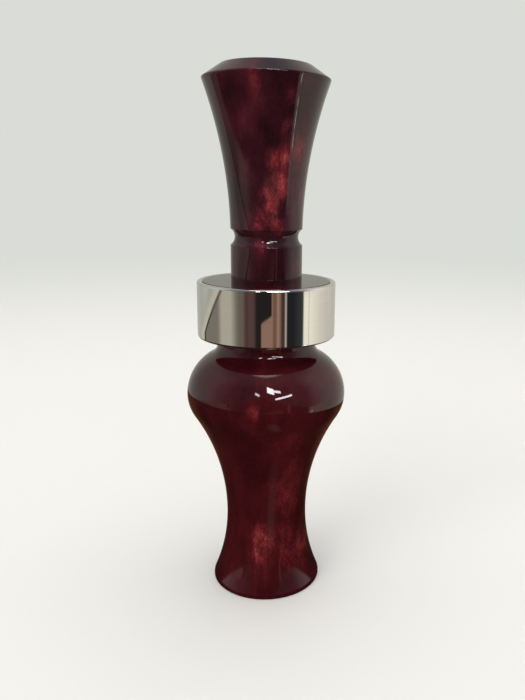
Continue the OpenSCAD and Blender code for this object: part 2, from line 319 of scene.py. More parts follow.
# %% Insert sizes in mm
CALL_H = 120.4
INSERT_R, NECK_H = 8.125, 8.1
GROOVE_W, GROOVE_DEPTH = 3.6, 0.95
RIM_R, BEVEL_H, BELL_TOP_R, MOUTH_R = 14.04, 2.8, 9.9, 8.5
EXHAUST_R, EXHAUST_H = 3.25, 13.5
TENON_R, TENON_H, TENON_CHAMFER = 7.25, 12.0, 0.5
RING_D, RING_GROOVE_W, RING_R, RING_GROOVE_R = 1.5, 2.0, 6.7, 5.9
RING_HEIGHTS = {"front_o_ring": 65.9, "rear_o_ring": 70.7}
SOCKET_R, SHANK_H = 4.03, 9.5
TENON_Z = BARREL_H - TENON_H
SOCKET_TOP = TENON_Z + SHANK_H + GLUE
NECK_HOLD, BEVEL_HOLD, LIP_HOLD = 0.2, 0.35, 0.4
GROOVE_BREAK, RIM_BREAK, TOP_BREAK, MOUTH_BREAK, BREAK_STEPS = 0.12, 0.22, 0.25, 0.3, 5
GROOVE_STEPS, FLARE_STEPS, BELL_STEPS = 18, 48, 40

groove_z = BARREL_H + NECK_H
groove_mid = groove_z + GROOVE_W / 2
groove_arc_r = ((GROOVE_W / 2) ** 2 + GROOVE_DEPTH**2) / (2 * GROOVE_DEPTH)
groove_turn = math.degrees(math.asin(GROOVE_W / 2 / groove_arc_r))
rim_z = CALL_H - BEVEL_H
flare_rise, flare_swell = rim_z - groove_mid, RIM_R - INSERT_R
flare_r = (flare_rise**2 + flare_swell**2) / (2 * flare_swell)
flare_from = math.asin(GROOVE_W / 2 / flare_r)
flare_turn = math.degrees(math.asin(flare_rise / flare_r) - flare_from)
bell_z = SOCKET_TOP + EXHAUST_H
bell_rise, bell_swell = CALL_H - bell_z, MOUTH_R - EXHAUST_R
bell_r = (bell_rise**2 + bell_swell**2) / (2 * bell_swell)
bell_turn = math.degrees(math.asin(bell_rise / bell_r))
print("Flare radius", round(flare_r, 2), "bell radius", round(bell_r, 2))

# %% [markdown]
# The insert's cuts begin at the tenon's lower end. They climb past the O-rings' grooves, the
# neck and the flare to the rim, and come back through the bell and the narrow bore to the
# socket that holds the tone board.

# %% Insert
bm, first = start_outline(TENON_R - TENON_CHAMFER, TENON_Z)
tip = cut_to(bm, first, TENON_R, TENON_Z + TENON_CHAMFER)
for height in RING_HEIGHTS.values():
    for r, side in ((TENON_R, -1), (RING_GROOVE_R, -1), (RING_GROOVE_R, 1), (TENON_R, 1)):
        tip = cut_to(bm, tip, r, height + side * RING_GROOVE_W / 2)
tip = cut_to(bm, tip, TENON_R, BARREL_H)
shoulder = cut_to(bm, tip, INSERT_R, BARREL_H)
groove_low = polish_to(bm, shoulder, INSERT_R, groove_z, NECK_HOLD)
groove_centre = (INSERT_R - GROOVE_DEPTH + groove_arc_r, groove_mid)
groove_top = sweep(bm, groove_low, groove_centre, -2 * groove_turn, GROOVE_STEPS)
flare_foot_r = INSERT_R + flare_r * (1 - math.cos(flare_from))
tip = cut_to(bm, groove_top, flare_foot_r, groove_z + GROOVE_W)
rim = sweep(bm, tip, (INSERT_R + flare_r, groove_mid), -flare_turn, FLARE_STEPS)
bell_top = polish_to(bm, rim, BELL_TOP_R, CALL_H, BEVEL_HOLD)
mouth = polish_to(bm, bell_top, MOUTH_R, CALL_H, LIP_HOLD)
tip = sweep(bm, mouth, (EXHAUST_R + bell_r, bell_z), bell_turn, BELL_STEPS)
tip = cut_to(bm, tip, EXHAUST_R, SOCKET_TOP)
tip = cut_to(bm, tip, SOCKET_R, SOCKET_TOP)
tip = cut_to(bm, tip, SOCKET_R, TENON_Z)
last = cut_to(bm, tip, TENON_R - TENON_CHAMFER, TENON_Z)
soften(bm, [
    (groove_low, GROOVE_BREAK), (rim, RIM_BREAK), (bell_top, TOP_BREAK),
    (mouth, MOUTH_BREAK)], BREAK_STEPS)
insert = turn(bm, first, last, "insert_turned")

# %% [markdown]
# ## The O-rings
#
# Each ring is a round rubber cord. Its outline is a circle that is stood upright beside
# the axis and then spun about it. A torus primitive would do as well, but the spin keeps
# to the sizes of the groove that the ring sits in.

# %% O-rings
RING_STEPS, RING_TURNS = 24, 96
UPRIGHT = Matrix.Rotation(math.pi / 2, 4, "X")

o_rings = {}
for node_name, height in RING_HEIGHTS.items():
    bm = bmesh.new()
    bmesh.ops.create_circle(
        bm, segments=RING_STEPS, radius=RING_D / 2 * MM,
        matrix=Matrix.Translation((RING_R * MM, 0, height * MM)) @ UPRIGHT,
    )
    spin_round(bm, RING_TURNS)
    crease(bm)
    o_rings[node_name] = as_piece(bm, node_name + "_moulded")

# %% [markdown]
# ## The tone board and the wedge
#
# The tone board is milled from a rod: a flat and then slowly falling reed face, a tone
# channel, a notch with an undercut wall, and a shank that is glued into the insert. The
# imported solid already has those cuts, so a copy of it is the best start. Its loose
# triangles are joined first. Then every cut edge gets the small break that a deburring
# tool or a fine file leaves. The cork wedge is cut with a knife and gets a rounder edge.

# %% Cut solids with broken edges
SAME_POINT = 1e-6
FLAT_DEG, CUT_EDGE_DEG = 1, 35


def broken_edges(node_name, name, edge):
    """A copy of a CAD solid with joined faces and each cut edge broken by edge mm."""
    bm = bmesh.new()
    bm.from_mesh(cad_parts[node_name].data)
    bmesh.ops.remove_doubles(bm, verts=bm.verts[:], dist=SAME_POINT)
    bmesh.ops.dissolve_limit(
        bm, angle_limit=math.radians(FLAT_DEG), verts=bm.verts[:], edges=bm.edges[:])
    cut = [e for e in bm.edges if e.calc_face_angle(0) > math.radians(CUT_EDGE_DEG)]
    bmesh.ops.bevel(
        bm, geom=cut, offset=edge * MM, offset_type="OFFSET", segments=2,
        profile=0.5, affect="EDGES", material=-1, clamp_overlap=True,
    )
    bmesh.ops.recalc_face_normals(bm, faces=bm.faces[:])
    crease(bm)
    print(name, "has", len(cut), "broken edges")
    return as_piece(bm, name)


tone_board = broken_edges("tone_board", "tone_board_milled", edge=0.08)
cork_wedge = broken_edges("cork_wedge", "cork_wedge_cut", edge=0.2)

# %% [markdown]
# ## The reeds
#
# A reed is a strip of polyester film, cut with rounded corners. In play it bends like a
# springboard from the front edge of the wedge, so the strip needs cuts across it where it can
# bend.

# %% Film strip
REED_T, REED_ROUND, ROUND_STEPS = 0.25, 0.8, 6
BEND_Z, BEND_STEP = 53.0, 1.3


def film_strip(node_name):
    """A strip as large as the CAD reed, ready to bend; its back is at the box's back."""
    low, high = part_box(node_name)
    bm = bmesh.new()
    bmesh.ops.create_grid(
        bm, x_segments=1, y_segments=1, size=0.5,
        matrix=Matrix.Translation((0, high.y, (low.z + high.z) / 2)) @ UPRIGHT
        @ Matrix.Diagonal((high.x - low.x, high.z - low.z, 1, 1)),
    )
    soften(bm, [(vertex, REED_ROUND) for vertex in bm.verts[:]], ROUND_STEPS)
    made = bmesh.ops.extrude_face_region(bm, geom=bm.faces[:])["geom"]
    outer = [g for g in made if isinstance(g, bmesh.types.BMVert)]
    bmesh.ops.translate(bm, vec=(0, -REED_T * MM, 0), verts=outer)
    z = BEND_Z * MM
    while z > low.z + REED_ROUND * MM:
        bmesh.ops.bisect_plane(
            bm, geom=bm.verts[:] + bm.edges[:] + bm.faces[:],
            plane_co=(0, 0, z), plane_no=(0, 0, 1))
        z -= BEND_STEP * MM
    bmesh.ops.recalc_face_normals(bm, faces=bm.faces[:])
    return bm, high.y - REED_T * MM, low.z


# %% [markdown]
# The main reed carries a raised dot, which keeps the two films from sticking together. It
# is a shallow dome. That is easiest to turn on its own axis and then to lay on the film.

# %% Raised dot
DOT_R, DOT_H, DOT_Z = 1.1, 0.15, 44.0
DOT_STEPS, DOT_TURNS = 8, 32


def raised_dot(bm, outer_y):
    """The embossed dot: a shallow dome turned on its own axis and set on the film."""
    dome, pole = start_outline(0, DOT_H)
    curve_r = (DOT_R**2 + DOT_H**2) / (2 * DOT_H)
    curve_turn = math.degrees(math.asin(DOT_R / curve_r))
    rim = sweep(dome, pole, (0, DOT_H - curve_r), -curve_turn, DOT_STEPS)
    wall = cut_to(dome, rim, DOT_R, -REED_T / 2)
    cut_to(dome, wall, 0, -REED_T / 2)
    spin_round(dome, DOT_TURNS)
    bmesh.ops.transform(
        dome, verts=dome.verts[:],
        matrix=Matrix.Translation((0, outer_y, DOT_Z * MM)) @ UPRIGHT)
    loose = bpy.data.meshes.new("dot")
    dome.to_mesh(loose)
    dome.free()
    bm.from_mesh(loose)
    bpy.data.meshes.remove(loose)


# %% [markdown]
# Each strip becomes a piece with its place baked into its points, and the CAD reed that it
# stands for is hidden.

reeds = {}
for node_name in ("main_reed", "top_reed"):
    bm, outer_y, tip_z = film_strip(node_name)
    if node_name == "main_reed":
        raised_dot(bm, outer_y)
    crease(bm)
    reeds[node_name] = as_piece(bm, node_name + "_film")
    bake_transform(reeds[node_name])
    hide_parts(node_name)

# %% [markdown]
# ## What rides on what
#
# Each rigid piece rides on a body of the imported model, so it moves with that body in every
# pose. It also replaces the solid that it dresses, so the two never show at once.

# %% Riding and replacing
carried = [
    (barrel, "barrel", "barrel"), (band, "barrel", "band"), (insert, "insert", "insert"),
    (tone_board, "insert", "tone_board"), (cork_wedge, "cork_wedge", "cork_wedge"),
    (o_rings["front_o_ring"], "o_rings", "front_o_ring"),
    (o_rings["rear_o_ring"], "o_rings", "rear_o_ring"),
]
for piece, body, node_name in carried:
    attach(piece, body)
    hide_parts(node_name)
print(len(carried) + len(reeds), "pieces stand for", len(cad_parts), "solids")

# %% [markdown]
# ## Shader nodes in plain words
#
# Finishes here are built from a few moves: a position on the piece, noise, a ramp of
# colours, a smooth step and some arithmetic. Each move gets a helper, so a finish reads
# as a recipe. What runs from one node to the next is a (node, socket) pair.

# %% Node helpers
def node(tree, kind, **settings):
    """A new node, with its settings and unlinked inputs given by name."""
    made = tree.nodes.new(kind)
    for name, value in settings.items():
        if name in made.inputs:
            made.inputs[name].default_value = value
        else:
            setattr(made, name, value)
    return made


def join(tree, source, target, into):
    """A link from source, a (node, socket) pair, to another node's input."""
    tree.links.new(source[0].outputs[source[1]], target.inputs[into])


def feed(tree, values, target):
    """Fills a node's inputs in order, each from a constant or a (node, socket) pair."""
    for i, value in enumerate(values):
        if isinstance(value, tuple) and isinstance(value[0], bpy.types.Node):
            join(tree, value, target, i)
        else:
            target.inputs[i].default_value = value


def maths(tree, operation, *values):
    """Arithmetic on numbers or (node, socket) pairs."""
    made = node(tree, "ShaderNodeMath", operation=operation)
    feed(tree, values, made)
    return made, "Value"


def vectors(tree, operation, *values):
    """Arithmetic on vectors; a length comes out as a number."""
    made = node(tree, "ShaderNodeVectorMath", operation=operation)
    feed(tree, values, made)
    return made, "Value" if operation == "LENGTH" else "Vector"


def step(tree, value, start, end, low=0.0, high=1.0, kind="SMOOTHSTEP"):
    """Goes from low to high while value goes from start to end."""
    made = node(tree, "ShaderNodeMapRange", interpolation_type=kind)
    for name, number in (
            ("From Min", start), ("From Max", end), ("To Min", low), ("To Max", high)):
        made.inputs[name].default_value = number
    join(tree, value, made, "Value")
    return made, "Result"


# %% [markdown]
# Next come the helpers for colour. The Mix node has sockets for numbers, vectors and
# colours, all under the same names, so the colours are found by their place in the row.

# %% Colour helpers
MIX_UNDER, MIX_OVER, MIX_RESULT = 6, 7, 2


def ramp(tree, value, stops):
    """A colour ramp over value, from a list of (place, colour)."""
    made = node(tree, "ShaderNodeValToRGB")
    row = made.color_ramp.elements
    while len(row) < len(stops):
        row.new(0.5)
    for element, (place, colour) in zip(row, stops):
        element.position = place
        element.color = (*colour, 1)
    join(tree, value, made, "Fac")
    return made, "Color"


def mix(tree, share, under, over):
    """Colour over laid on colour under, each a colour or a (node, socket) pair."""
    made = node(tree, "ShaderNodeMix", data_type="RGBA")
    join(tree, share, made, "Factor")
    for socket, colour in ((MIX_UNDER, under), (MIX_OVER, over)):
        if isinstance(colour[0], bpy.types.Node):
            join(tree, colour, made, socket)
        else:
            made.inputs[socket].default_value = (*colour, 1)
    return made, MIX_RESULT


def grey(level):
    """A colour with no tint."""
    return (level, level, level)


# %% [markdown]
# A texture node needs coordinates. Here they are always the place on the piece, in metres,
# so a pattern stays where it is when the piece moves.

# %% Texture helpers
def noise(tree, at, scale, detail, roughness=0.5):
    """Noise over the coordinates at; scale is the number of waves to a metre."""
    made = node(tree, "ShaderNodeTexNoise", Scale=scale, Detail=detail, Roughness=roughness)
    join(tree, at, made, "Vector")
    return made


def cells(tree, at, scale, feature="F1"):
    """Random cells over the coordinates at, or the distance to their edges."""
    made = node(tree, "ShaderNodeTexVoronoi", feature=feature, Scale=scale)
    join(tree, at, made, "Vector")
    return made


def own_tone(tree, textured):
    """A random number for each cell, taken from its colour."""
    made = node(tree, "ShaderNodeSeparateColor")
    join(tree, (textured, "Color"), made, "Color")
    return made, "Red"


def stretched(tree, at, scale, shift=(0, 0, 0)):
    """Coordinates scaled by scale and then moved by shift."""
    made = node(tree, "ShaderNodeMapping", Scale=scale, Location=shift)
    join(tree, at, made, "Vector")
    return made, "Vector"


def emboss(tree, shader, height, strength, depth, invert=False):
    """Fine relief on the surface, depth deep in metres."""
    made = node(tree, "ShaderNodeBump", Strength=strength, Distance=depth, invert=invert)
    join(tree, height, made, "Height")
    join(tree, (made, "Normal"), shader, "Normal")


# %% [markdown]
# A material starts from the Principled shader, whose constants are set on its own sockets.
# Only what changes over the surface gets a link.

# %% Material helpers
def new_material(name, constants):
    """Material, node tree, main shader with its constants, and the place on the piece."""
    material = bpy.data.materials.new(name)
    material.use_nodes = True
    tree = material.node_tree
    shader = tree.nodes["Principled BSDF"]
    for socket, value in constants.items():
        shader.inputs[socket].default_value = value
    return material, tree, shader, (node(tree, "ShaderNodeTexCoord"), "Object")


def blend_shaders(tree, share, under, over, output):
    """Shader over laid on shader under, and sent to the material's output."""
    made = node(tree, "ShaderNodeMixShader")
    join(tree, share, made, "Fac")
    join(tree, under, made, 1)
    join(tree, over, made, 2)
    join(tree, (made, "Shader"), output, "Surface")


def dress(material, *pieces):
    """Gives the pieces a material."""
    for piece in pieces:
        piece.data.materials.append(material)
    print(material.name, "on", [piece.name for piece in pieces])


# %% [markdown]
# ## The floor
#
# The floor is one pale sheet that fades into the backdrop's colour far away, so no
# horizon cuts through the picture. Polished pieces don't mirror it: they get a room of
# their own, in the next cells.

# %% Floor
BACKDROP = (0.70, 0.72, 0.68)
FLOOR_REACH = 4.0
FADE_FROM, FADE_TO = 0.15, 0.9

bm = bmesh.new()
bmesh.ops.create_grid(bm, x_segments=1, y_segments=1, size=FLOOR_REACH)
floor = as_object(bm, "floor")
floor.visible_glossy = False

paper, tree, sheet, place = new_material("pale_paper", {
    "Base Color": (0.74, 0.73, 0.70, 1), "Roughness": 0.7, "Specular IOR Level": 0.2})
fade = step(tree, vectors(tree, "LENGTH", place), FADE_FROM, FADE_TO)
far = node(tree, "ShaderNodeEmission", Color=(*BACKDROP, 1))
output = tree.nodes["Material Output"]
blend_shaders(tree, fade, (sheet, "BSDF"), (far, "Emission"), output)
dress(paper, floor)

# %% [markdown]
# ## The room that the polish mirrors
#
# A mirror shows whatever stands round it, and a bare studio gives it nothing to show. So
# the world carries a painted room that only shiny surfaces see. Two coordinates say where
# a thing is: the compass, 0 towards the camera and 90 to its right, and the tilt above or
# below the horizon. Both are in degrees.

# %% Compass and tilt
STEEPEST = 45.0

world = bpy.data.worlds.new("studio")
scene.world = world
world.use_nodes = True
tree = world.node_tree
tree.nodes.clear()
split = node(tree, "ShaderNodeSeparateXYZ")
join(tree, (node(tree, "ShaderNodeTexCoord"), "Generated"), split, "Vector")
climb = (split, "Z")
away = maths(tree, "MULTIPLY", (split, "Y"), -1.0)
compass = maths(tree, "DEGREES", maths(tree, "ARCTAN2", (split, "X"), away))
tilt = maths(tree, "DEGREES", maths(tree, "ARCSINE", climb))
turned = maths(tree, "ADD", maths(tree, "MULTIPLY", compass, 1 / 360), 0.5)


def all_round(stops):
    """Colours round the compass, from a list of (degrees, colour)."""
    return ramp(tree, turned, [((degrees + 180) / 360, colour) for degrees, colour in stops])


def skyline(stops):
    """An edge round the compass, from (degrees, tilt); no tilt passes the steepest."""
    level = all_round([
        (degrees, grey((height + STEEPEST) / (2 * STEEPEST))) for degrees, height in stops])
    return maths(tree, "SUBTRACT", maths(tree, "MULTIPLY", level, 2 * STEEPEST), STEEPEST)


def below(edge, soft):
    """1 below an edge and 0 above it, with a soft change."""
    return step(tree, maths(tree, "SUBTRACT", tilt, edge), soft, -soft)


# %% [markdown]
# ## Walls at eye level
#
# One ramp of colours runs round the compass. A pale wall stands on the left, then an olive
# corner and a mauve door. It is night straight ahead. Past a copper panel and a dark gap
# comes the white wall on the right, with one thin line in it. The back of the room is sage.

# %% Walls at eye level
SAGE, SAGE_LIT, SAGE_SHADE = (0.52, 0.52, 0.45), (0.70, 0.68, 0.58), (0.27, 0.245, 0.21)
PALE, OLIVE, UMBER = (0.60, 0.55, 0.46), (0.26, 0.235, 0.20), (0.19, 0.155, 0.13)
MAUVE, MAUVE_SHADE = (0.128, 0.072, 0.066), (0.092, 0.052, 0.048)
NIGHT, NAVY, NAVY_LIT = (0.024, 0.020, 0.021), (0.022, 0.022, 0.027), (0.06, 0.06, 0.066)
COPPER, COPPER_LIT, BROWN = (0.24, 0.12, 0.088), (0.42, 0.29, 0.215), (0.085, 0.048, 0.034)
COPPER_DIM, PANEL_EDGE = (0.30, 0.19, 0.14), (0.75, 0.66, 0.58)
WHITE, CREAM, WARM = (1.20, 1.16, 0.99), (0.94, 0.88, 0.76), (0.80, 0.76, 0.67)
LINEN = (0.66, 0.64, 0.56)

eye_level = all_round([
    (-180, SAGE), (-68, PALE), (-56, PALE), (-46, OLIVE), (-40, UMBER), (-35, UMBER),
    (-29, MAUVE_SHADE), (-24, MAUVE), (-18, MAUVE), (-15, MAUVE_SHADE), (-12, NIGHT),
    (12, NIGHT), (14.5, COPPER), (19, COPPER), (22.5, COPPER_LIT), (25.5, COPPER_DIM),
    (29, BROWN), (33.3, BROWN), (35.3, PANEL_EDGE), (37.5, NAVY), (48, NAVY),
    (65.6, NAVY_LIT), (67.8, WHITE), (76, WHITE), (77.2, SAGE_LIT), (78.6, WHITE),
    (102, CREAM), (122, WARM), (145, LINEN), (180, SAGE)])

# %% [markdown]
# ## Slanted edges
#
# Two edges of the room aren't upright. A shaded line leans across the left wall, and the
# copper panel is cut off at a slant. Here a slanted edge is a compass place that changes
# with the height. How far a point lies past that place then says what it belongs to.

# %% Slanted edges
EDGE_SHADE, PANEL_FRONT = (0.09, 0.08, 0.065), (0.38, 0.22, 0.17)


def slanted(low_climb, high_climb, low_place, high_place):
    """The compass place of an edge that runs straight from a low to a high point."""
    return step(tree, climb, low_climb, high_climb, low_place, high_place, "LINEAR")


wall_line = maths(
    tree, "MINIMUM", slanted(-0.205, -0.099, -102.0, -52.5),
    slanted(-0.210, -0.099, -119.5, -40.6))
past_wall = maths(tree, "SUBTRACT", compass, wall_line)
corner = mix(tree, step(tree, compass, -72.0, -84.0), eye_level, SAGE_SHADE)
shaded = mix(tree, step(tree, past_wall, 6.0, 4.0), corner, EDGE_SHADE)
sage_wall = mix(tree, step(tree, past_wall, -22.0, -4.0), SAGE, SAGE_LIT)
left_wall = mix(tree, step(tree, past_wall, 0.3, -0.9), shaded, sage_wall)

copper_line = slanted(-0.199, -0.187, -5.0, 12.0)
past_copper = maths(tree, "SUBTRACT", compass, copper_line)
on_panel = maths(
    tree, "MULTIPLY", step(tree, past_copper, -1.0, 2.0), step(tree, compass, 16.0, 13.0))
with_panel = mix(tree, on_panel, left_wall, PANEL_FRONT)
ahead = maths(
    tree, "MULTIPLY", step(tree, compass, 5.0, 8.0), step(tree, compass, 33.0, 31.0))
over_panel = maths(tree, "MULTIPLY", ahead, step(tree, tilt, -7.5, -5.0))
walls = mix(tree, over_panel, with_panel, NIGHT)

# %% [markdown]
# ## Far table and upper room
#
# Below the walls lies the far end of the table. Above them the room is bluish and dark in
# front, bright on the right, and white at the ceiling's lamp.

# %% Far table and upper room
TABLE, TABLE_BACK = (0.03, 0.016, 0.010), (0.17, 0.075, 0.03)
SAGE_HIGH, HIGH_WALL, CEILING = (0.55, 0.56, 0.49), (0.32, 0.36, 0.42), (4.0, 3.9, 3.6)

far_table = all_round([(-180, TABLE_BACK), (-128, TABLE), (128, TABLE), (180, TABLE_BACK)])
table_edge = skyline([
    (-180, -26), (-99, -26), (-95, -15), (58, -15), (66, -28), (180, -28)])
lower_room = mix(tree, below(table_edge, 0.8), walls, far_table)

upper_room = all_round([
    (-180, SAGE_HIGH), (-128, (0.54, 0.53, 0.48)), (-100, (0.66, 0.70, 0.70)),
    (-86, (0.70, 0.76, 0.78)), (-76, (0.58, 0.58, 0.60)), (-64, (0.42, 0.40, 0.43)),
    (-57, (0.24, 0.24, 0.28)), (-46, (0.18, 0.21, 0.26)), (-15, (0.12, 0.14, 0.19)),
    (8, (0.10, 0.11, 0.15)), (28, (0.15, 0.17, 0.22)), (46, (0.20, 0.21, 0.25)),
    (63, (0.24, 0.22, 0.27)), (70, (0.40, 0.35, 0.41)), (82, (0.82, 0.76, 0.79)),
    (97, (1.12, 1.05, 1.08)), (116, (0.92, 0.86, 0.80)), (145, LINEN), (180, SAGE_HIGH)])
high_wall = mix(tree, step(tree, tilt, 40.0, 62.0), upper_room, HIGH_WALL)
ceiling = mix(tree, step(tree, tilt, 73.0, 79.0), high_wall, CEILING)
horizon = skyline([
    (-180, -18), (-133, -12), (-112, -9.6), (-94, -6), (-69, -1.5), (-51, 0), (-33, 6),
    (-19, 15), (0, 23), (23, 10), (42, 1), (56, -5), (64, -8), (125, -8),
    (140, -18), (180, -18)])
room = mix(tree, below(horizon, 1.5), ceiling, lower_room)

# %% [markdown]
# ## Windows
#
# A window is a bright pane with four soft edges. The mirror images of the first four are
# the white marks on the bulb, the groove and the rim. The last four stand one above the
# other on the right and draw the broken white line down the flare. The world shows this
# room to mirror rays alone. The camera sees the plain backdrop, and the pieces are lit by
# an even grey.

# %% Windows
# Each pane: left, right, bottom, top, slope, softness of its edges, brightness
PANES = [
    (5, 16, 37, 51, -0.55, 1.2, 36), (15, 27, 37, 43, -0.30, 1.2, 30),
    (17, 43, 18.5, 22.5, 0.22, 1.0, 32), (-14, -7, 31, 36, -0.6, 1.5, 22),
    (71.5, 72.6, -24.5, -23.3, 0, 0.4, 9), (71.5, 72.6, -21.5, -20.5, 0, 0.4, 9),
    (71.5, 72.6, -20.0, -18.0, 0, 0.4, 9), (71.5, 72.6, -17.2, -15.6, 0, 0.4, 9)]
SOFT_LIGHT = 0.62


def window(room, left, right, bottom, top, slope, soft, brightness):
    """A bright pane laid on the room; slope is how much it rises for each degree."""
    rise = maths(tree, "MULTIPLY", maths(tree, "SUBTRACT", compass, left), slope)
    height = maths(tree, "SUBTRACT", tilt, rise)
    pane = maths(
        tree, "MULTIPLY", step(tree, compass, left - soft, left + soft),
        step(tree, compass, right + soft, right - soft))
    for outside, inside in ((bottom - soft, bottom + soft), (top + soft, top - soft)):
        pane = maths(tree, "MULTIPLY", pane, step(tree, height, outside, inside))
    return mix(tree, pane, room, grey(brightness))


for pane in PANES:
    room = window(room, *pane)

light_path = node(tree, "ShaderNodeLightPath")
unseen = mix(tree, (light_path, "Is Glossy Ray"), grey(SOFT_LIGHT), room)
seen = mix(tree, (light_path, "Is Camera Ray"), unseen, BACKDROP)
air = node(tree, "ShaderNodeBackground")
join(tree, seen, air, "Color")
join(tree, (air, "Background"), node(tree, "ShaderNodeOutputWorld"), "Surface")
print("The room has", len(tree.nodes), "nodes")

# %% [markdown]
# ## The table in the polish
#
# The painted room is endlessly far away, which suits walls but not the table that the call
# stands on. A low piece such as the foot must see the table's edge almost level with it,
# and the bulb sees it further down. So the table is a real oval sheet under the call, and
# only polished surfaces can see it. Its back is lit brown, its front is in the shade, and the
# window lays one soft patch of light in front of the call. Varnish seen at a very low angle
# mirrors the wall behind it, so there the sheet clears and lets the painted room through.

# %% Mirrored table
TABLE_AT, TABLE_REACH = (-0.060, -0.025, -0.0002), (0.190, 0.195, 1, 1)
BACK_FROM, BACK_TO = 0.01, 0.07
PATCH_AT, PATCH_SQUEEZE = (0.012, -0.046, 0), (1.0, 0.42, 0)
PATCH_FROM, PATCH_TO, PATCH_TONE = 0.011, 0.002, (0.38, 0.28, 0.24)
CLEAR_FROM, CLEAR_TO = 0.885, 0.93

bm = bmesh.new()
bmesh.ops.create_circle(
    bm, cap_ends=True, segments=96, radius=1,
    matrix=Matrix.Translation(TABLE_AT) @ Matrix.Diagonal(TABLE_REACH))
table = as_object(bm, "mirrored_table")
table.visible_camera = False
table.visible_diffuse = False
table.visible_transmission = False
table.visible_shadow = False

wood = bpy.data.materials.new("table_in_polish")
wood.use_nodes = True
tree = wood.node_tree
tree.nodes.clear()
place = (node(tree, "ShaderNodeTexCoord"), "Object")
split = node(tree, "ShaderNodeSeparateXYZ")
join(tree, place, split, "Vector")
plain = mix(tree, step(tree, (split, "Y"), BACK_FROM, BACK_TO), TABLE, TABLE_BACK)
from_patch = vectors(tree, "SUBTRACT", place, PATCH_AT)
distance = vectors(tree, "LENGTH", vectors(tree, "MULTIPLY", from_patch, PATCH_SQUEEZE))
in_patch = step(tree, distance, PATCH_FROM, PATCH_TO)
glow = node(tree, "ShaderNodeEmission")
join(tree, mix(tree, in_patch, plain, PATCH_TONE), glow, "Color")
glance = node(tree, "ShaderNodeLayerWeight", Blend=0.5)
clearing = step(tree, (glance, "Facing"), CLEAR_FROM, CLEAR_TO)
clear = node(tree, "ShaderNodeBsdfTransparent")
output = node(tree, "ShaderNodeOutputMaterial")
blend_shaders(tree, clearing, (glow, "Emission"), (clear, "BSDF"), output)
dress(wood, table)

# %% [markdown]
# ## Lamps
#
# Wide lamps light the pieces and the floor softly. They don't show in the polish, where
# the painted windows do that job.

# %% Lamps
CALL_MIDDLE = (0, 0, 0.06)


def lamp(name, at, size, watts, colour=(1, 1, 1)):
    """A square lamp that faces the middle of the call and stays out of reflections."""
    data = bpy.data.lights.new(name, "AREA")
    data.size = size
    data.energy = watts
    data.color = colour
    made = bpy.data.objects.new(name, data)
    aim = Vector(CALL_MIDDLE) - Vector(at)
    facing = aim.to_track_quat("-Z", "Y").to_matrix().to_4x4()
    made.matrix_world = Matrix.Translation(at) @ facing
    made.visible_glossy = False
    scene.collection.objects.link(made)
    print(name, watts, "W")


lamp("overhead", (0.1, 0.1, 1.1), size=1.4, watts=9)
lamp("front_left", (-0.7, -0.9, 0.8), size=0.9, watts=7, colour=(1, 0.98, 0.95))

# %% [markdown]
# ## Pearl acrylic
#
# The blanks are cast from clear burgundy acrylic with pearl pigment stirred in. The pigment
# hangs in slow veils: dark wine where there is little, red where there is more, and coppery
# where the flakes lie flat to the surface. Noise whose coordinates are bent by other noise
# draws such veils, and a stretch makes them run along the blank. A few places where this
# blank has more flakes, or fewer, are listed, and they carry painted light as well: the
# bright ones are partly painted glints where the flakes catch the light, and the dim ones are
# partly painted shade. Each starts as a ball that is a little taller than wide, and the same
# noise pulls it out of shape.

# %% Veils, crowds and painted light
BLANK_STRETCH = (1.0, 1.0, 0.45)
CROWD_STRETCH = (1.0, 1.0, 0.7)


def bent(tree, start, bend, reach):
    """Coordinates pulled aside by the noise bend, by up to about reach / 2."""
    centred = vectors(tree, "SUBTRACT", (bend, "Color"), grey(0.5))
    return vectors(tree, "ADD", start, vectors(tree, "MULTIPLY", centred, grey(reach)))


def crowding_and_painted_light(tree, at, crowds_and_painted_light):
    """How crowded the flakes are, with painted glints and painted shade laid in;
    crowds_and_painted_light are (x, y, z, radius, strength), sizes in mm.
    """
    crowd_and_painted_light = 0.0
    for x, y, z, radius, strength in crowds_and_painted_light:
        offset = vectors(tree, "SUBTRACT", at, (x * MM, y * MM, z * MM))
        distance = vectors(tree, "LENGTH", vectors(tree, "MULTIPLY", offset, CROWD_STRETCH))
        near = step(tree, distance, radius * MM, 0.0, high=strength)
        crowd_and_painted_light = maths(tree, "MAXIMUM" if strength > 0 else "ADD", near, crowd_and_painted_light)
    return crowd_and_painted_light


# %% [markdown]
# Fine cells stand for the single flakes, each a little lighter or darker. All of it adds up
# to one number, the depth of colour, and a ramp turns that into a tone. Where the surface
# turns away, the eye looks along the flakes and the colour sinks. The Principled shader's
# coat is the buffed surface over it all. Its IOR is a little below acrylic's 1.49, so the
# mirror images stay as faint as they are on a hand-buffed piece.

# %% Pearl acrylic
VEIL_REACH, STREAK_REACH, CROWD_REACH = 0.012, 0.004, 0.006
FLAKES, PLAIN_SPARKLE, CROWDED_SPARKLE = 4200.0, 0.05, 0.35
SUNKEN = (0.006, 0.001, 0.0022)


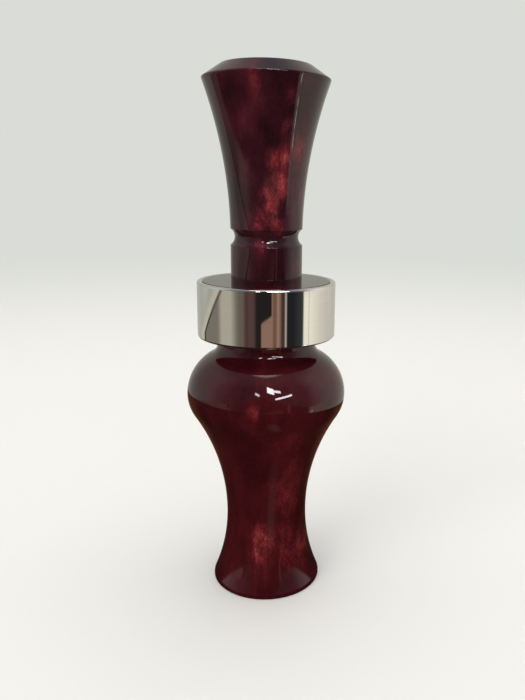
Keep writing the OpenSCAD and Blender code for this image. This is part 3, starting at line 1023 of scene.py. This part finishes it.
def acrylic(name, tones, seed, contrast, level, crowds_and_painted_light):
    """Burgundy pearl, from its tones, its veils' contrast and level, and its crowds."""
    material, tree, shader, place = new_material(name, {
        "Roughness": 0.5, "IOR": 1.49, "Specular IOR Level": 0.0,
        "Coat Weight": 1.0, "Coat Roughness": 0.02, "Coat IOR": 1.38})
    blank = stretched(tree, place, BLANK_STRETCH, (seed, seed * 0.7, seed * 1.3))
    bend = noise(tree, blank, scale=130.0, detail=4.0, roughness=0.55)
    pulled = bent(tree, blank, bend, VEIL_REACH)
    veil = noise(tree, pulled, scale=105.0, detail=6.0, roughness=0.55)
    pulled = bent(tree, blank, bend, STREAK_REACH)
    streaks = noise(tree, pulled, scale=520.0, detail=4.0, roughness=0.6)

    # The crowds lay partly painted glints and partly painted shade into the colour.
    crowd_and_painted_light = crowding_and_painted_light(tree, bent(tree, place, bend, CROWD_REACH), crowds_and_painted_light)
    torn = step(tree, (streaks, "Fac"), 0.30, 0.68, low=0.55, high=1.25)
    crowd_and_painted_light = maths(tree, "MULTIPLY", crowd_and_painted_light, torn)
    tone = own_tone(tree, cells(tree, blank, FLAKES))
    flake = maths(tree, "SUBTRACT", tone, 0.5)
    sparkle = maths(tree, "MULTIPLY", crowd_and_painted_light, CROWDED_SPARKLE)
    sparkle = maths(tree, "ADD", sparkle, PLAIN_SPARKLE)

    depth = maths(tree, "MULTIPLY", maths(tree, "SUBTRACT", (veil, "Fac"), 0.5), contrast)
    for part in (level, crowd_and_painted_light, maths(tree, "MULTIPLY", flake, sparkle)):
        depth = maths(tree, "ADD", depth, part)
    facing = node(tree, "ShaderNodeLayerWeight", Blend=0.5)
    turned_away = step(tree, (facing, "Facing"), 0.25, 0.80, high=0.35)
    colour = mix(tree, turned_away, ramp(tree, depth, tones), SUNKEN)
    join(tree, colour, shader, "Base Color")
    join(tree, step(tree, depth, 0.60, 0.95, high=0.3), shader, "Metallic")
    return material


# %% [markdown]
# The barrel and the insert come from two blanks. The insert's has more copper in it. A crowd
# with a strength below 0 is a place where the flakes are thin, with painted shade in it as
# well. A bright crowd holds a painted glint as well as more flakes.

# %% Two blanks
barrel_tones = [
    (0.28, (0.008, 0.0011, 0.0019)), (0.40, (0.018, 0.0021, 0.0033)),
    (0.50, (0.034, 0.0036, 0.0053)), (0.60, (0.055, 0.0057, 0.0077)),
    (0.72, (0.120, 0.0135, 0.0160)), (0.84, (0.23, 0.033, 0.031)),
    (0.98, (0.42, 0.11, 0.085))]
# Bright crowds are partly painted glints, and dim ones partly painted shade.
barrel_crowds_and_painted_light = [
    (-1.0, -18.5, 48.7, 1.9, 0.26), (-0.1, -9.9, 13.9, 5.2, 0.30),
    (-0.6, -10.0, 10.2, 4.8, 0.28), (0.2, -10.6, 7.0, 4.0, 0.14),
    (6.0, -14.5, 42.0, 3.0, 0.06), (5.0, -9.0, 12.0, 8.5, 0.18),
    (9.0, -4.5, 12.0, 7.0, 0.22), (5.0, -7.6, 27.0, 9.0, 0.15),
    (0.0, -15.0, 41.0, 7.0, -0.03), (-8.0, -6.0, 24.0, 8.0, -0.04),
    (-3.0, -17.4, 51.5, 5.0, -0.12), (-11.5, -13.0, 48.0, 8.0, -0.04)]
insert_tones = [
    (0.28, (0.006, 0.0022, 0.0040)), (0.40, (0.015, 0.0036, 0.0062)),
    (0.50, (0.031, 0.0058, 0.0094)), (0.60, (0.057, 0.0092, 0.0140)),
    (0.72, (0.135, 0.0172, 0.0225)), (0.84, (0.25, 0.034, 0.037)),
    (0.98, (0.36, 0.078, 0.062))]
# Bright crowds are partly painted glints, and dim ones partly painted shade.
insert_crowds_and_painted_light = [
    (4.4, -9.4, 108.2, 2.4, 0.27), (4.7, -8.5, 100.4, 3.4, 0.42),
    (2.5, -9.1, 100.2, 3.0, 0.32), (3.4, -8.1, 96.2, 3.4, 0.45),
    (2.0, -8.2, 93.8, 3.4, 0.42), (1.7, -8.1, 91.4, 3.6, 0.36),
    (0.3, -8.1, 88.8, 4.0, 0.32), (-1.4, -8.1, 87.6, 3.4, 0.36),
    (2.4, -7.9, 87.4, 3.2, 0.30), (7.3, -6.4, 102.2, 6.5, 0.23),
    (-2.6, -13.3, 116.6, 2.2, 0.18), (5.6, -11.5, 113.4, 2.4, 0.18),
    (7.4, -4.4, 93.0, 7.0, 0.20), (7.4, -3.6, 78.0, 5.0, 0.18),
    (-2.9, -9.0, 97.0, 5.0, 0.08), (-1.3, -8.0, 81.9, 2.6, 0.28),
    (-6.1, -11.1, 113.6, 5.0, -0.11), (-5.4, -8.4, 104.0, 4.0, -0.07),
    (-0.5, -10.6, 106.0, 4.5, -0.06)]
barrel_pearl = acrylic(
    "barrel_pearl", barrel_tones, seed=0.3, contrast=0.5, level=0.54, crowds_and_painted_light=barrel_crowds_and_painted_light)
insert_pearl = acrylic(
    "insert_pearl", insert_tones, seed=1.1, contrast=0.6, level=0.465, crowds_and_painted_light=insert_crowds_and_painted_light)
dress(barrel_pearl, barrel)
dress(insert_pearl, insert)

# %% [markdown]
# ## Bored acrylic
#
# Nobody buffs the inside of a bore. There the same acrylic keeps the fine rings of the
# boring tool and a duller surface, and so does the tenon that the O-rings sit on.

# %% Bored acrylic
JUST_OUTSIDE = 0.1

bored, tree, shader, place = new_material("bored_acrylic", {})
cloud = noise(tree, place, scale=260.0, detail=4.0)
join(tree, ramp(tree, (cloud, "Fac"), [
    (0.3, (0.030, 0.004, 0.008)), (0.7, (0.085, 0.014, 0.020))]), shader, "Base Color")
join(tree, step(tree, (cloud, "Fac"), 0.3, 0.7, low=0.38, high=0.55), shader, "Roughness")
rings = node(tree, "ShaderNodeTexWave", bands_direction="Z", Scale=420.0)
join(tree, place, rings, "Vector")
emboss(tree, shader, (rings, "Fac"), strength=0.25, depth=0.00004)
dress(bored, barrel, insert)

for piece, bore_r in ((barrel, BORE_R), (insert, SOCKET_R)):
    for face in piece.data.polygons:
        across = math.hypot(face.center.x, face.center.y)
        tenon = piece is insert and face.center.z < BARREL_H * MM
        if across < (bore_r + JUST_OUTSIDE) * MM or tenon:
            face.material_index = 1

# %% [markdown]
# ## Polished nickel
#
# A mirror is only as interesting as its small faults: fine polishing lines that run round
# the ring, and patches that are a little duller from handling.

# %% Polished nickel
nickel, tree, shader, place = new_material("nickel_polish", {"Metallic": 1.0})
hair = noise(tree, stretched(tree, place, (1.0, 1.0, 40.0)), scale=160.0, detail=5.0)
join(tree, ramp(tree, (hair, "Fac"), [
    (0.3, (0.615, 0.61, 0.58)), (0.7, (0.645, 0.64, 0.61))]), shader, "Base Color")
smudge = noise(tree, place, scale=180.0, detail=4.0)
dullness = step(tree, (smudge, "Fac"), 0.35, 0.75, low=0.015, high=0.045)
join(tree, dullness, shader, "Roughness")
dress(nickel, band)

# %% [markdown]
# ## Board plastic
#
# The tone board is satin black plastic with the mill's fine marks along it. The marks are
# noise stretched along the board, and they set the tone, the dullness and the relief.

# %% Board plastic
board, tree, shader, place = new_material("board_plastic", {})
marks = noise(tree, stretched(tree, place, (1.0, 1.0, 0.06)), scale=2600.0, detail=3.0)
join(tree, ramp(tree, (marks, "Fac"), [
    (0.3, (0.014, 0.014, 0.016)), (0.7, (0.032, 0.032, 0.036))]), shader, "Base Color")
join(tree, step(tree, (marks, "Fac"), 0.3, 0.7, low=0.34, high=0.50), shader, "Roughness")
emboss(tree, shader, (marks, "Fac"), strength=0.2, depth=0.00003)
dress(board, tone_board)

# %% [markdown]
# ## Reed film
#
# The film is clear polyester, a little hazy from handling. Light goes through most of it.

# %% Reed film
film, tree, shader, place = new_material("reed_film", {
    "Transmission Weight": 0.86, "IOR": 1.6})
haze = noise(tree, place, scale=420.0, detail=5.0)
join(tree, ramp(tree, (haze, "Fac"), [
    (0.3, (0.86, 0.90, 0.93)), (0.75, (0.74, 0.78, 0.82))]), shader, "Base Color")
join(tree, step(tree, (haze, "Fac"), 0.35, 0.75, low=0.10, high=0.30), shader, "Roughness")
dress(film, *reeds.values())

# %% [markdown]
# ## Cork
#
# The wedge is pressed from cork granules. Each granule is a cell with its own brown and a
# fine speckle, and dark gaps lie between them. Noise tears the cells' straight edges.

# %% Cork
GRANULES, TEAR = 1200.0, 0.0007

cork, tree, shader, place = new_material("cork_granules", {"Roughness": 0.85})
ragged = noise(tree, place, scale=1400.0, detail=3.0)
torn = vectors(tree, "MULTIPLY_ADD", (ragged, "Color"), grey(TEAR), place)
brown = maths(tree, "MULTIPLY", own_tone(tree, cells(tree, torn, GRANULES)), 0.7)
fine = noise(tree, place, scale=5200.0, detail=3.0)
speckle = maths(tree, "MULTIPLY", (fine, "Fac"), 0.3)
browns = ramp(tree, maths(tree, "ADD", brown, speckle), [
    (0.15, (0.24, 0.12, 0.055)), (0.5, (0.46, 0.28, 0.15)), (0.85, (0.62, 0.42, 0.25))])
edges = cells(tree, torn, GRANULES, "DISTANCE_TO_EDGE")
gap = step(tree, (edges, "Distance"), 0.09, 0.02)
join(tree, mix(tree, gap, browns, (0.10, 0.045, 0.02)), shader, "Base Color")
emboss(tree, shader, gap, strength=0.5, depth=0.00008, invert=True)
dress(cork, cork_wedge)

# %% [markdown]
# ## Ring rubber
#
# The rubber is nearly black and dull, with a faint grey bloom.

# %% Ring rubber
rubber, tree, shader, place = new_material("ring_rubber", {})
bloom = noise(tree, place, scale=900.0, detail=4.0)
join(tree, ramp(tree, (bloom, "Fac"), [
    (0.35, (0.010, 0.010, 0.011)), (0.75, (0.030, 0.029, 0.028))]), shader, "Base Color")
join(tree, step(tree, (bloom, "Fac"), 0.3, 0.7, low=0.5, high=0.7), shader, "Roughness")
dress(rubber, *o_rings.values())

# %% [markdown]
# ## Finish
#
# The colours are shown as they are, with no film look.

# %% Finish
scene.view_settings.view_transform = "Standard"
